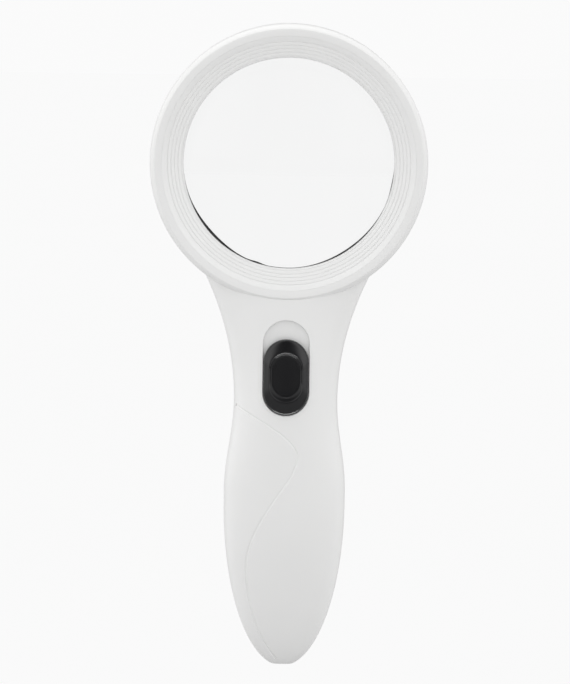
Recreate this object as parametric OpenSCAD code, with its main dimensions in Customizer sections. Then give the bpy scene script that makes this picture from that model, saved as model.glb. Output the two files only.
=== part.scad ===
// Illuminated hand magnifier for low-vision readers.
// It stands upright: +Z runs up the handle to the lens, +X is to its right, the front faces -Y.
// The origin is at the middle of the hand grip, on the plane where the two shells meet.

/* [Lens head] */
// Outer radius of the round head
head_r = 47.5; // [46.5:0.1:48.5]
// Height of the lens centre above the middle of the grip
lens_z = 117.6; // [117:0.1:118.2]
// Radius of the clear opening in the front
view_r = 36; // [35.6:0.1:36.2]
// How far the front rim of the head stands in front of the parting plane
head_front = 8.6; // [8.4:0.1:9.4]
// How far the rear rim of the head stands behind the parting plane
head_back = 10; // [10:0.1:10.6]

/* [Lens] */
// Radius of the lens blank
lens_r = 37.5; // [37.3:0.1:37.5]
// Radius of curvature of both faces
lens_curve = 147; // [140:1:180]
// Thickness of the lens at its edge
lens_edge = 2; // [1.8:0.1:2]
// Fine steps moulded around the front opening
bezel_steps = 5; // [3:1:6]

/* [Handle] */
// Greatest half width of the grip
grip_w = 20.9; // [20.4:0.1:22]
// Half width at the waist above the grip
waist_w = 17.8; // [17.6:0.1:18.4]
// Height of the waist
waist_z = 36; // [35:0.5:36]
// Depth of the grip in front of the parting plane
grip_front = 11.5; // [11:0.1:12.5]
// Depth of the grip behind the parting plane
grip_back = 9.4; // [9.3:0.1:9.6]
// Length of the handle below the middle of the grip
grip_drop = 56.3; // [54:0.1:56.5]
// Thickness of the moulded walls
wall = 1.8; // [1.6:0.1:1.8]

/* [Switch] */
// Width of the thumb slide
slide_w = 15.4; // [14:0.1:15.6]
// Length of the thumb slide
slide_len = 25.9; // [25:0.1:26]
// Travel of the thumb slide from off to on
slide_travel = 6.2; // [4:0.1:6.2]
// Height of the thumb slide's lower end
slide_foot_z = 31.7; // [31.6:0.1:31.9]
// How far the thumb slide stands out of the handle
slide_proud = 1.4; // [1:0.1:1.8]

/* [Power] */
// Radius of a cell
cell_r = 5.25; // [5:0.05:5.25]
// Length of a cell without its button
cell_len = 43.3; // [42.5:0.1:43.3]
// Number of light-emitting diodes around the lens
led_count = 8; // [4:1:10]

/* [Hidden] */
$fn = 96;
eps = 0.01;

// Handle outline: half an ellipse cut short at the tip, a belly, a soft waist, then a flare up to the head.
tip_half = grip_drop + 0.8;
belly_z = 4.5;
flare_rate = 0.0056;
section_power = 2.6;
neck_front = 8;
neck_back = 8;
neck_z = 90;
loft_top = 84;
arc_steps = 24;
low_count = 13;
ring_gap = 4.8;
cavity_foot = -50;
cavity_top = 75;
lead_in_drop = 1;

function ease(a, b, u) = b + (a - b) * (1 + cos(180 * min(max(u, 0), 1))) / 2;
function round_off(z) = sqrt(1 - pow(z / tip_half, 2));
function half_width(z) =
    z < 0 ? grip_w * round_off(z)
    : z < waist_z ? ease(grip_w, waist_w, (z - belly_z) / (waist_z - belly_z))
    : waist_w + flare_rate * pow(z - waist_z, 2);
function front_depth(z) = z < 0 ? grip_front * round_off(z) : ease(grip_front, neck_front, z / neck_z);
function back_depth(z) = z < 0 ? grip_back * round_off(z) : ease(grip_back, neck_back, z / neck_z);
function crown(x, w) = pow(max(0, 1 - pow(abs(x) / w, section_power)), 1 / section_power);
function front_at(x, z) = front_depth(z) * crown(x, half_width(z));

// Heights of the loft's rings, closer together towards the tip.
function low_rings(foot, n) = [for (k = [n:-1:1]) -tip_half * sin(asin(-foot / tip_half) * k / n)];
function high_rings(foot, top, n) = [for (k = [0:n]) foot + (top - foot) * k / n];
function rings(foot, top) = let (up = max(foot, 0))
    concat(foot < 0 ? low_rings(foot, low_count) : [], high_rings(up, top, ceil((top - up) / ring_gap)));

// One half of the handle as a closed loft: side is -1 for the front half and 1 for the back.
// It is made smaller by inset all round, and reaches lip past the parting plane.
module half_loft(side, inset, foot, top, lip) {
    levels = rings(foot, top);
    turn = 180 / arc_steps;
    lips = lip > 0 ? 1 : 0;
    per = arc_steps + 1 + 2 * lips;
    function depth(z) = side < 0
        ? front_depth(z) - inset - (inset > 0 ? ease(0, lead_in_drop, (z - 58) / 10) : 0)
        : back_depth(z) - inset;
    function arc_x(w, a) = w * sign(cos(a)) * pow(abs(cos(a)), 2 / section_power);
    function arc_y(d, a) = side * d * pow(abs(sin(a)), 2 / section_power);
    function on_edge(k) = k == 0 || k == arc_steps;
    function section(z) = let (w = half_width(z) - inset, d = depth(z)) concat(
        lip > 0 ? [[w, -side * lip, z]] : [],
        [for (k = [0:arc_steps]) [arc_x(w, k * turn), on_edge(k) ? 0 : arc_y(d, k * turn), z]],
        lip > 0 ? [[-w, -side * lip, z]] : []
    );
    points = [for (z = levels) each section(z)];
    last = (len(levels) - 1) * per;
    walls = [
        for (j = [0:len(levels) - 2])
        for (i = [0:per - 1])
        let (a = j * per + i, b = j * per + (i + 1) % per)
        each [[a, b, b + per], [a, b + per, a + per]]
    ];
    ends = [[for (i = [per - 1:-1:0]) i], [for (i = [0:per - 1]) last + i]];
    faces = concat(walls, ends);
    polyhedron(points, side > 0 ? [for (f = faces) [for (i = [len(f) - 1:-1:0]) f[i]]] : faces);
}

// A place at u, from 0 to 1, along the cubic curve with the four control places p.
function cubic(p, u) = let (w = 1 - u)
    w * w * w * p[0] + 3 * w * w * u * p[1] + 3 * w * u * u * p[2] + u * u * u * p[3];

// A quarter of a circle as points, centred on [r, f], from angle a to angle b.
function corner(r, f, size, a, b, n = 8) =
    [for (k = [0:n]) [r + size * cos(a + (b - a) * k / n), f + size * sin(a + (b - a) * k / n)]];

// Turned rings of the head are drawn as [radius, distance in front of the parting plane].
module turned(points) {
    translate([0, 0, lens_z])
    rotate([90, 0, 0])
    rotate_extrude()
    polygon(points);
}

// A plain pin along Y: p is [x, z], and it runs from y0 to y1.
module peg(p, r, y0, y1) {
    translate([p[0], y1, p[1]])
    rotate([90, 0, 0])
    cylinder(h = y1 - y0, r = r);
}

// A bar with round ends, standing on end, from y0 to y1.
module stadium(w, foot, top, y0, y1) {
    translate([0, y1, 0])
    rotate([90, 0, 0])
    linear_extrude(y1 - y0)
    union() {
        translate([0, foot + w / 2])
        circle(d = w);
        translate([0, top - w / 2])
        circle(d = w);
        translate([-w / 2, foot + w / 2])
        square([w, top - foot - w]);
    }
}

module box(lo, hi) {
    translate(lo)
    cube(hi - lo);
}

// Round points on the head, at radius r and angle a from +X.
function on_head(r, a) = [r * cos(a), lens_z + r * sin(a)];

// ---- Head ----
rim_round = 1.7;
rear_round = 1.8;
rim_wall = 1.9;
rim_in = head_r - rim_wall;
seat_r = 43.4;
seat_f = 6;
flange_r = 40.2;
flange_f = 4.4;
barrel_in = 37.6;
barrel_out = 39.2;
barrel_front = 3;
stop_r = 36.4;
stop_y = 2.35;
floor_y = 7.1;
window_y = 8.3;
window_back_y = 9.6;
window_r0 = 39.7;
window_r1 = 44.15;
join_r = head_r - 1;

lens_mid = 1;
lens_sag = lens_curve - sqrt(pow(lens_curve, 2) - pow(lens_r, 2));
lens_half = lens_edge / 2 + lens_sag;

led_r = 42;
led_angles = [for (k = [0:led_count - 1]) (k + 0.5) * 360 / led_count];
post_r = 43.2;
post_angles = [0, 90, 180];
board_y = 3;
board_t = 1.2;

// Height of the slide's stem at rest, which the switch and its board are set out from.
stem_z = slide_foot_z + 13;

// ---- Screws: [x, z] of each ----
shell_screw_at = [[-13.5, 64], [13.5, 64]];
board_screw_at = [[0, stem_z - 9.4], [0, stem_z + 15.6]];
tray_screw_at = [0, -38];
shell_boss_y = 3;
shell_head_y = 5.4;
screw_r = 1;
small_screw_r = 0.8;
thread_gap = 0.03;

// ---- Thumb slide and switch ----
well_gap = 0.2;
well_f = 7.6;
well_skin = 2.1;
well_wall = 1.5;
well_foot = slide_foot_z - well_gap;
well_top = slide_foot_z + slide_len + slide_travel + well_gap;
stem_w = 4.4;
stem_len = 8;
slot_half = stem_w / 2 + well_gap;
slot_reach = stem_len / 2 + well_gap;
keeper_y = -5.3;
keeper_t = 1.2;
switch_y = 1;
case_w = 8.4;
case_top_y = -3.2;
case_len = 15;
case_foot = stem_z - 4.4;
lever_w = 2;
board_foot = stem_z - 11.6;
board_top = stem_z + 18;
pin_rows = 3;
pin_pitch = 4;

// ---- Battery bay ----
door_top = 28;
grip_ribs = 5;
grip_rib_z = 6;
grip_rib_pitch = 3;
grip_rib_len = 15;
grip_rib_r = 0.8;
door_gap = 0.15;
tongue_len = 3;
tongue_w = 14;
tongue_t = 1.1;
tongue_y = back_depth(door_top) - wall - 0.6;
bulkhead_z = door_top + tongue_len + 0.6;
bulkhead_y = 3.6;
button_len = 1.2;
button_r = 1.9;
cell_pitch = 10.6;
spring_len = 5;
bay_top = 25.4;
bay_foot = bay_top - cell_len - button_len - spring_len;
plate_t = 0.5;
tray_wall = 1.5;
tray_floor_y = -5.8;
tray_floor_t = 1.2;
tab_foot = -41;
lead_r = 0.6;

white = [0.92, 0.92, 0.91];
black = [0.08, 0.08, 0.09];

// Moulded line that sweeps across the front of the grip, as cubic curves of [x, z] places.
sweep_curves = [
    [[-16.6, 34], [-9, 29.7], [4.4, 23.3], [4.2, 17.4]],
    [[4.2, 17.4], [4.2, 12.7], [0.9, 8.4], [-1.7, 4.8]],
    [[-1.7, 4.8], [-5.8, -1.1], [-13, -11.5], [-13, -20.7]],
    [[-13, -20.7], [-13, -32.1], [-9.5, -45.8], [-2, -54.3]]
];
sweep_steps = 7;
sweep_w = 0.6;
sweep_deep = 0.35;

// The line is a chain of thin bars, each let into the surface by the same depth.
module sweep_groove() {
    for (c = sweep_curves)
    for (k = [0:sweep_steps - 1]) {
        a = cubic(c, k / sweep_steps);
        b = cubic(c, (k + 1) / sweep_steps);
        mid = (a + b) / 2;
        run = norm(b - a) + sweep_w;
        translate([mid[0], -front_at(mid[0], mid[1]) + sweep_deep, mid[1]])
        rotate([0, -atan2(b[1] - a[1], b[0] - a[0]), 0])
        translate([-run / 2, -4, -sweep_w / 2])
        cube([run, 4, sweep_w]);
    }
}

module head_front_ring() {
    turned(concat(
        [[rim_in, 0], [head_r, 0]],
        corner(head_r - rim_round, head_front - rim_round, rim_round, 0, 90),
        [[seat_r, head_front], [seat_r, seat_f], [flange_r, seat_f]],
        [[flange_r, flange_f], [rim_in, flange_f]]
    ));
}

module head_back_ring() {
    turned(concat(
        [[rim_in, 0], [rim_in, -floor_y], [barrel_out, -floor_y], [barrel_out, barrel_front]],
        [[barrel_in, barrel_front], [barrel_in, -stop_y], [stop_r, -stop_y], [stop_r, -4]],
        [[window_r0 - 1.3, -9.4], [window_r0, -9.4], [window_r0, -window_y], [window_r1, -window_y]],
        [[window_r1, -head_back]],
        corner(head_r - rear_round, -head_back + rear_round, rear_round, -90, 0),
        [[head_r, 0]]
    ));
}

// The neck stops inside the head's wall, so that the opening stays clear.
module neck_cut() {
    translate([0, 20, lens_z])
    rotate([90, 0, 0])
    cylinder(h = 40, r = join_r);
}

// Way through the head's wall for the leads, from f0 to f1 in front of the parting plane.
module neck_passage(side, f0, f1) {
    intersection() {
        half_loft(side, wall, 60, cavity_top, 1);
        turned([[rim_in - 1, f0], [head_r + 1, f0], [head_r + 1, f1], [rim_in - 1, f1]]);
    }
}

module well_block() {
    foot = well_foot - well_wall;
    top = well_top + well_wall;
    stadium(slide_w + 2 * (well_gap + well_wall), foot, top, -20, -well_f + well_skin);
}

module front_shell() {
    color(white)
    difference() {
        union() {
            difference() {
                half_loft(-1, 0, -grip_drop, loft_top, 0);
                neck_cut();
                difference() {
                    half_loft(-1, wall, cavity_foot, cavity_top, 1);
                    well_block();
                }
            }
            difference() {
                head_front_ring();
                neck_passage(-1, -1, flange_f);
            }
            for (a = post_angles) peg(on_head(post_r, a), 1, -flange_f - 0.5, board_y);
            for (p = board_screw_at) peg(p, 2.2, -well_f + 0.5, switch_y);
            for (p = shell_screw_at) peg(p, 2.8, -6.2, shell_boss_y);
            peg(tray_screw_at, 2.6, -7.4, -2);
        }
        stadium(slide_w + 2 * well_gap, well_foot, well_top, -20, -well_f);
        box([-slot_half, -9, stem_z - slot_reach], [slot_half, -3, stem_z + slot_reach + slide_travel]);
        for (p = board_screw_at) peg(p, small_screw_r + thread_gap, -4.6, switch_y + 1);
        for (p = shell_screw_at) peg(p, screw_r + thread_gap, -4.5, shell_boss_y + 1);
        peg(tray_screw_at, small_screw_r + thread_gap, -6.2, -1);
        sweep_groove();
    }
}

module back_shell() {
    color(white)
    difference() {
        union() {
            difference() {
                half_loft(1, 0, door_top, loft_top, 0);
                neck_cut();
                half_loft(1, wall, door_top - 1, cavity_top, 1);
            }
            difference() {
                head_back_ring();
                neck_passage(1, -floor_y, 1);
            }
            box([-10, bulkhead_y, bulkhead_z], [10, back_depth(bulkhead_z) - wall + 0.4, bulkhead_z + 1.2]);
            for (a = post_angles) peg(on_head(post_r, a), 1, board_y + board_t, floor_y + 0.5);
            for (p = shell_screw_at) peg(p, 3.4, shell_boss_y + 0.05, 6.6);
        }
        for (a = led_angles) peg(on_head(led_r, a), 1.9, floor_y - 1, window_y + 1);
        for (p = shell_screw_at) peg(p, screw_r + 0.15, 2, 12);
        for (p = shell_screw_at) peg(p, 2.4, shell_head_y, 12);
    }
}

// A half handle whose lower end is closed, with ribs to push it off by.
module battery_door() {
    color(white)
    union() {
        difference() {
            half_loft(1, 0, -grip_drop, door_top - door_gap, 0);
            half_loft(1, wall, cavity_foot, door_top + 1, 1);
            box([-30, -1, -60], [30, door_gap, 40]);
        }
        // Tongue that slips under the edge of the fixed shell above.
        half = tongue_w / 2;
        box([-half, tongue_y - tongue_t, door_top - 6], [half, tongue_y, door_top + tongue_len]);
        box([-half, tongue_y - 0.5, door_top - 6], [half, tongue_y + 1, door_top - 1]);
        for (k = [0:grip_ribs - 1]) {
            z = grip_rib_z + grip_rib_pitch * k;
            translate([-grip_rib_len / 2, back_depth(z) - 0.55, z])
            rotate([0, 90, 0])
            cylinder(h = grip_rib_len, r = grip_rib_r, $fn = 24);
        }
        // Two ribs that steady the cells.
        for (s = [-1, 1]) box([s * cell_pitch / 2 - 0.6, 5.8, -20], [s * cell_pitch / 2 + 0.6, 7.2, 22]);
    }
}

// ---- Lens, bezel and light ----
step_pitch = 1.2;
step_drop = 0.36;
step_slot = 0.24;
step_r0 = 41.6;
step_f0 = 7.6;

module front_bezel() {
    // Each step is a narrow slot and then a band that slopes in to the next one.
    steps = [
        for (k = [0:bezel_steps - 1])
        let (r = step_r0 - k * step_pitch, f = step_f0 - k * step_drop)
        each [[r, f], [r - 0.06, f - step_slot], [r - 0.26, f - step_slot], [r - 0.32, f - 0.1]]
    ];
    f_in = step_f0 - bezel_steps * step_drop;
    rim = seat_r - 0.05;
    color(white)
    turned(concat(
        [[rim, seat_f + 0.05], [rim, head_front - 0.3], [rim - 0.2, head_front - 0.15]],
        steps,
        [[view_r + 0.2, f_in], [view_r, f_in - 0.2], [view_r, 3.4], [lens_r - 0.1, 3.4]],
        [[lens_r - 0.1, flange_f], [flange_r - 0.4, flange_f], [flange_r - 0.4, seat_f + 0.05]]
    ));
}

module lens() {
    color([0.85, 0.93, 0.95, 0.4])
    intersection() {
        translate([0, lens_mid - lens_half + lens_curve, lens_z])
        sphere(r = lens_curve, $fn = 180);
        translate([0, lens_mid + lens_half - lens_curve, lens_z])
        sphere(r = lens_curve, $fn = 180);
        translate([0, 20, lens_z])
        rotate([90, 0, 0])
        cylinder(h = 40, r = lens_r);
    }
}

module lens_gasket() {
    color(black)
    turned([[view_r + 0.1, 0.5], [lens_r - 0.1, 0.1], [lens_r - 0.1, 3.4], [view_r + 0.1, 3.4]]);
}

module light_window() {
    color([0.9, 0.95, 0.95, 0.5])
    turned([
        [window_r0 + 0.05, -window_y], [window_r1 - 0.05, -window_y],
        [window_r1 - 0.05, 0.2 - window_back_y], [window_r1 - 0.3, -window_back_y],
        [window_r0 + 0.3, -window_back_y], [window_r0 + 0.05, 0.2 - window_back_y]
    ]);
}

module led_board() {
    color([0.1, 0.35, 0.2])
    turned([
        [barrel_out + 0.2, -board_y], [rim_in - 0.2, -board_y],
        [rim_in - 0.2, -board_y - board_t], [barrel_out + 0.2, -board_y - board_t]
    ]);
}

module led() {
    cylinder(h = 1.6, r = 1.5, $fn = 32);
    translate([0, 0, 1.6])
    intersection() {
        sphere(r = 1.2, $fn = 32);
        cylinder(h = 2, r = 2, $fn = 32);
    }
}

module leds() {
    color([0.98, 0.97, 0.85])
    for (a = led_angles) {
        p = on_head(led_r, a);
        translate([p[0], board_y + board_t, p[1]])
        rotate([-90, 0, 0])
        led();
    }
}

// ---- Swept wires and springs ----
function unit(v) = v / norm(v);
function heading(path, k) = unit(path[min(k + 1, len(path) - 1)] - path[max(k - 1, 0)]);

module tube(path, r, sides, ref) {
    count = len(path);
    points = [
        for (k = [0:count - 1])
        let (t = heading(path, k), u = unit(cross(t, ref)), v = cross(t, u))
        for (i = [0:sides - 1])
        path[k] + r * cos(360 * i / sides) * u + r * sin(360 * i / sides) * v
    ];
    walls = [
        for (k = [0:count - 2])
        for (i = [0:sides - 1])
        let (a = k * sides + i, b = k * sides + (i + 1) % sides)
        each [[a, b + sides, b], [a, a + sides, b + sides]]
    ];
    ends = [[for (i = [0:sides - 1]) i], [for (i = [sides - 1:-1:0]) (count - 1) * sides + i]];
    polyhedron(points, concat(walls, ends));
}

// A smooth path from a to d that leaves towards b and arrives from c.
function bend(a, b, c, d, n = 12) = [for (k = [0:n]) cubic([a, b, c, d], k / n)];

module led_leads() {
    // From the back of the switch board, over its top edge, to the front of the diode board.
    start = switch_y + board_t + lead_r + 0.02;
    finish = board_y - lead_r - 0.02;
    color("crimson")
    for (x = [-3, 3])
    tube(bend([x, start, board_top - 3.9], [x, start + 0.8, 66], [x, 0.4, 67.5], [x, finish, 75.5]),
         lead_r, 8, [1, 0, 0]);
}

module battery_leads() {
    far = cell_pitch / 2;
    near = -4.6;
    plate_top = bay_top + plate_t;
    end_y = switch_y - lead_r - 0.02;
    long_lead = concat(
        [[far, near, bay_foot]],
        bend([far, near, 24], [far, near, 30], [far, -3, 31], [far, end_y, 35])
    );
    short_lead = concat(
        [[-8, -2, plate_top]],
        bend([-8, -2, plate_top + 1.5], [-8, -2, 30], [-6.5, -0.5, 30], [-6.5, end_y, 35])
    );
    color("firebrick")
    union() {
        tube(long_lead, lead_r, 8, [1, 0, 0]);
        tube(short_lead, lead_r, 8, [1, 0, 0]);
    }
}

// ---- Thumb slide and switch ----
slide_top_z = slide_foot_z + slide_len;
dish_w = 11.7;
dish_foot = slide_foot_z + 4.5;
dish_top = dish_foot + 17;

// Cuts everything in front of a slope that follows the handle, stood off by out.
module slide_face(out) {
    y0 = -front_depth(slide_foot_z) - out;
    y1 = -front_depth(slide_top_z) - out;
    translate([0, y0, slide_foot_z])
    rotate([-atan2(y1 - y0, slide_len), 0, 0])
    translate([-20, -20, -10])
    cube([40, 20, slide_len + 20]);
}

module thumb_slide() {
    color(black)
    union() {
        difference() {
            stadium(slide_w, slide_foot_z, slide_top_z, -14, -well_f - 0.1);
            slide_face(slide_proud);
            intersection() {
                stadium(dish_w, dish_foot, dish_top, -14, -8);
                slide_face(slide_proud - 1);
            }
        }
        translate([-stem_w / 2, -well_f - 0.2, stem_z - stem_len / 2])
        cube([stem_w, well_f + 0.2 + keeper_y, stem_len]);
    }
}

module slide_keeper() {
    color([0.75, 0.75, 0.74])
    difference() {
        box([-6, keeper_y, stem_z - 6], [6, keeper_y + keeper_t, stem_z + 6]);
        box([-lever_w / 2, -9, stem_z - lever_w / 2], [lever_w / 2, 0, stem_z + lever_w / 2]);
    }
}

module switch_lever() {
    color(black)
    union() {
        box([-lever_w / 2, keeper_y, stem_z - lever_w / 2], [lever_w / 2, -1.4, stem_z + lever_w / 2]);
        box([-1.8, -2.5, stem_z - 2], [1.8, -1.3, stem_z + 2]);
    }
}

module switch_case() {
    gap = 0.2;
    color([0.75, 0.76, 0.78])
    difference() {
        box([-case_w / 2, case_top_y, case_foot], [case_w / 2, switch_y, case_foot + case_len]);
        box([-3.4, case_top_y + 0.5, case_foot + 1], [3.4, switch_y - 0.6, case_foot + case_len - 1]);
        box([-lever_w / 2 - gap, -5, stem_z - lever_w / 2 - gap],
            [lever_w / 2 + gap, -2, stem_z + lever_w / 2 + slide_travel + gap]);
    }
}

module switch_pins() {
    color("goldenrod")
    for (k = [0:pin_rows - 1]) peg([0, case_foot + 3.5 + k * pin_pitch], 0.4, switch_y, switch_y + 1.9);
}

module switch_board() {
    color([0.1, 0.35, 0.2])
    difference() {
        box([-9.5, switch_y, board_foot], [9.5, switch_y + board_t, board_top]);
        for (k = [0:pin_rows - 1]) peg([0, case_foot + 3.5 + k * pin_pitch], 0.45, 0, 4);
        for (p = board_screw_at) peg(p, small_screw_r + 0.15, 0, 4);
    }
}

module resistors() {
    color([0.12, 0.12, 0.13])
    for (k = [0:2]) {
        z = stem_z - 2.4 + 5 * k;
        box([5, switch_y + board_t, z - 0.8], [8.2, switch_y + board_t + 0.6, z + 0.8]);
    }
}

// ---- Battery bay ----
module cell_tray() {
    color([0.85, 0.85, 0.84])
    difference() {
        union() {
            box([-11.5, tray_floor_y - tray_floor_t, bay_foot - plate_t - tray_wall],
                [11.5, tray_floor_y, bay_top + plate_t + tray_wall]);
            for (z = [bay_foot - plate_t - tray_wall, bay_top + plate_t]) {
                translate([0, 0, z])
                linear_extrude(tray_wall)
                union() {
                    for (s = [-1, 1]) translate([s * cell_pitch, 0]) circle(r = 5.1);
                    translate([-cell_pitch, tray_floor_y - tray_floor_t])
                    square([2 * cell_pitch, 5.1 - tray_floor_y + tray_floor_t]);
                }
            }
            box([-4, -2, tab_foot], [4, -0.6, bay_foot - plate_t]);
        }
        peg(tray_screw_at, small_screw_r + 0.2, -5, 2);
        translate([cell_pitch / 2, -4.6, bay_top])
        cylinder(h = 6, r = 0.8, $fn = 32);
        translate([-8, -2, bay_top])
        cylinder(h = 6, r = 0.8, $fn = 32);
    }
}

// A cell with its button up, or down when way is -1.
module cell(x, way) {
    can_foot = way > 0 ? bay_foot + spring_len : bay_foot + button_len;
    button_foot = way > 0 ? can_foot + cell_len : bay_foot;
    color([0.55, 0.57, 0.6])
    translate([x, 0, 0])
    union() {
        translate([0, 0, can_foot])
        cylinder(h = cell_len, r = cell_r);
        translate([0, 0, button_foot])
        cylinder(h = button_len, r = button_r, $fn = 32);
    }
}

module cell_left() { cell(-cell_pitch, 1); }
module cell_middle() { cell(0, -1); }
module cell_right() { cell(cell_pitch, 1); }

// Single plates at the two ends of the chain of cells.
module contact_tabs() {
    color("silver")
    union() {
        box([-14.2, -3.5, bay_top], [-6.4, 3.5, bay_top + plate_t]);
        box([6.4, -3.5, bay_foot - plate_t], [14.2, 3.5, bay_foot]);
        box([4.4, -5.2, bay_foot - plate_t], [6.9, -2, bay_foot]);
    }
}

// Plates that join each cell to the next.
module contact_bridges() {
    color("silver")
    union() {
        box([-4, -3.5, bay_top], [14.2, 3.5, bay_top + plate_t]);
        box([-14.2, -3.5, bay_foot - plate_t], [4, 3.5, bay_foot]);
    }
}

spring_wire = 0.35;
spring_turns = 4;
spring_steps = 14;

// A tapered coil between a plate and the flat end of a cell.
module coil(x, z0, z1) {
    count = spring_turns * spring_steps;
    start = z0 + sign(z1 - z0) * spring_wire;
    rise = z1 - z0 - 2 * sign(z1 - z0) * spring_wire;
    path = [
        for (k = [0:count])
        let (u = k / count, r = 3.4 - 1.2 * u, a = 360 * k / spring_steps)
        [x + r * cos(a), r * sin(a), start + rise * u]
    ];
    tube(path, spring_wire, 8, [0, 0, 1]);
}

module contact_springs() {
    color("silver")
    union() {
        for (x = [-cell_pitch, cell_pitch]) coil(x, bay_foot, bay_foot + spring_len);
        coil(0, bay_top, bay_top - spring_len);
    }
}

// ---- Screws ----
module screw(p, head_y, head_r, head_h, r, tip_y) {
    difference() {
        union() {
            peg(p, head_r, head_y, head_y + head_h);
            peg(p, r, tip_y, head_y + eps);
        }
        for (a = [0, 90])
        translate([p[0], head_y + head_h, p[1]])
        rotate([0, a, 0])
        cube([head_r * 1.1, head_h, 0.5], center = true);
    }
}

module shell_screws() {
    color("silver")
    for (p = shell_screw_at) screw(p, shell_head_y, 2.2, 1.5, screw_r, -4);
}

module board_screws() {
    color("silver")
    for (p = board_screw_at) screw(p, switch_y + board_t, 1.6, 1, small_screw_r, -4);
}

module tray_screw() {
    color("silver")
    screw(tray_screw_at, -0.6, 1.8, 1.1, small_screw_r, -5.8);
}

front_shell();
back_shell();
battery_door();
front_bezel();
lens();
lens_gasket();
light_window();
led_board();
leds();
led_leads();
thumb_slide();
slide_keeper();
switch_lever();
switch_case();
switch_pins();
switch_board();
resistors();
cell_tray();
cell_left();
cell_middle();
cell_right();
contact_tabs();
contact_bridges();
contact_springs();
battery_leads();
shell_screws();
board_screws();
tray_screw();
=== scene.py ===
import math

import bmesh
import bpy
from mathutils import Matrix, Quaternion, Vector


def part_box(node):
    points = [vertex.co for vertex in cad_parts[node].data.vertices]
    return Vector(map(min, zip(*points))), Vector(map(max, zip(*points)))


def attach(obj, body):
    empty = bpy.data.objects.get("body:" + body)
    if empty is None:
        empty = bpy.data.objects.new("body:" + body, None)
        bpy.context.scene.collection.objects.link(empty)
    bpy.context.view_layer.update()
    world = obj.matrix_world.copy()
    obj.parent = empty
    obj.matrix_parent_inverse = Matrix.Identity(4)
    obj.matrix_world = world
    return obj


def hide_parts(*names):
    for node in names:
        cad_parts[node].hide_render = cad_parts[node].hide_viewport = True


# A lit hand magnifier: two moulded handle shells, a round lens head, a thumb slide and a battery bay.
# Shapes are worked out in millimetres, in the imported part's frame: x to the right, y to the back, z up.
# Many shapes use f, the distance in front of the plane where the two shells meet, so y is -f.

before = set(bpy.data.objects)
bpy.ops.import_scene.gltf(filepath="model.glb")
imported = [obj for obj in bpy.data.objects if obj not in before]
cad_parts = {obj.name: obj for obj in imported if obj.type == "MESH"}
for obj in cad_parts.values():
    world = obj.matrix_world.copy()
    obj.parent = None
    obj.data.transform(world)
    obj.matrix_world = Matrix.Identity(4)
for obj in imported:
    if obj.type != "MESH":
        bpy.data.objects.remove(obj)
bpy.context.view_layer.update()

MM = 0.001


def extent(node):
    """Lowest and highest corner of a CAD node in millimetres."""
    low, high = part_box(node)
    return [round(c / MM, 2) for c in low], [round(c / MM, 2) for c in high]


# ---- Driving sizes, from the frame ----
lens_low, lens_high = extent("lens")
lens_r = (lens_high[0] - lens_low[0]) / 2
lens_z = (lens_high[2] + lens_low[2]) / 2
lens_y = (lens_high[1] + lens_low[1]) / 2
lens_half = (lens_high[1] - lens_low[1]) / 2
shell_low, shell_high = extent("front_shell")
head_r = shell_high[0]
grip_drop = -shell_low[2]
grip_front = -shell_low[1]
grip_w = extent("battery_door")[1][0]
head_back = extent("back_shell")[1][1]
slide_low, slide_high = extent("thumb_slide")
slide_w = slide_high[0] - slide_low[0]
slide_foot = slide_low[2]
slide_top = slide_high[2]

# ---- Handle ----
waist_w, waist_z, belly_z, flare_rate = 17.8, 36, 4.5, 0.0056
grip_back, neck_front, neck_back, neck_z = 9.4, 8, 8, 90
section_power = 2.6
tip_half = grip_drop + 0.8
wall = 1.8
loft_top = 84
cavity_foot, cavity_top, lead_in_z = -50, 75, 58
door_top = 28
seam_round = 0.25
column_count = 120

# ---- Head ----
head_front, rear_round = 8.6, 1.8
rim_in = head_r - 1.9
seat_r, seat_f, flange_r, flange_f = 43.4, 6, 40.2, 4.4
barrel_in, barrel_out, barrel_front = 37.6, 39.2, 3
stop_r, stop_y, floor_y, window_y = 36.4, 2.35, 7.1, 8.3
window_r0, window_r1 = 39.7, 44.15
view_r = 36
join_r = head_r - 1
led_r, led_count = 42, 8
post_r, board_y, board_t = 43.2, 3, 1.2

# ---- Thumb slide and its track ----
well_gap, well_f, well_skin, well_wall = 0.2, 7.6, 2.1, 1.5
slide_travel = 6.2
well_foot = slide_foot - well_gap
well_top = slide_top + slide_travel + well_gap
slide_proud = 1.4
dish_w, dish_foot, dish_len = 11.7, slide_foot + 4.5, 17
dish_top = dish_foot + dish_len
stem_z, stem_w, stem_len, keeper_y = slide_foot + 13, 4.4, 8, -5.3

shell_screw_at = [(-13.5, 64), (13.5, 64)]
board_screw_at = [(0, stem_z - 9.4), (0, stem_z + 15.6)]
tray_screw_at = (0, -38)


# ---- Small sums ----
def ease(a, b, u):
    """From a to b as u goes from 0 to 1, level at both ends."""
    return b + (a - b) * (1 + math.cos(math.pi * min(max(u, 0), 1))) / 2


def steps(a, b, count):
    """Evenly spaced values from a to b, both ends included."""
    return [a + (b - a) * k / count for k in range(count + 1)]


def cubic(p, u):
    """A place along the cubic curve with the four control places p."""
    w = 1 - u
    shares = (w**3, 3 * w * w * u, 3 * w * u * u, u**3)
    return tuple(sum(s * q[i] for s, q in zip(shares, p)) for i in range(len(p[0])))


def round_off(z):
    return math.sqrt(max(0, 1 - (z / tip_half) ** 2))


def half_width(z):
    if z < 0:
        return grip_w * round_off(z)
    if z < waist_z:
        return ease(grip_w, waist_w, (z - belly_z) / (waist_z - belly_z))
    return waist_w + flare_rate * (z - waist_z) ** 2


def front_depth(z):
    return grip_front * round_off(z) if z < 0 else ease(grip_front, neck_front, z / neck_z)


def back_depth(z):
    return grip_back * round_off(z) if z < 0 else ease(grip_back, neck_back, z / neck_z)


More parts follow.
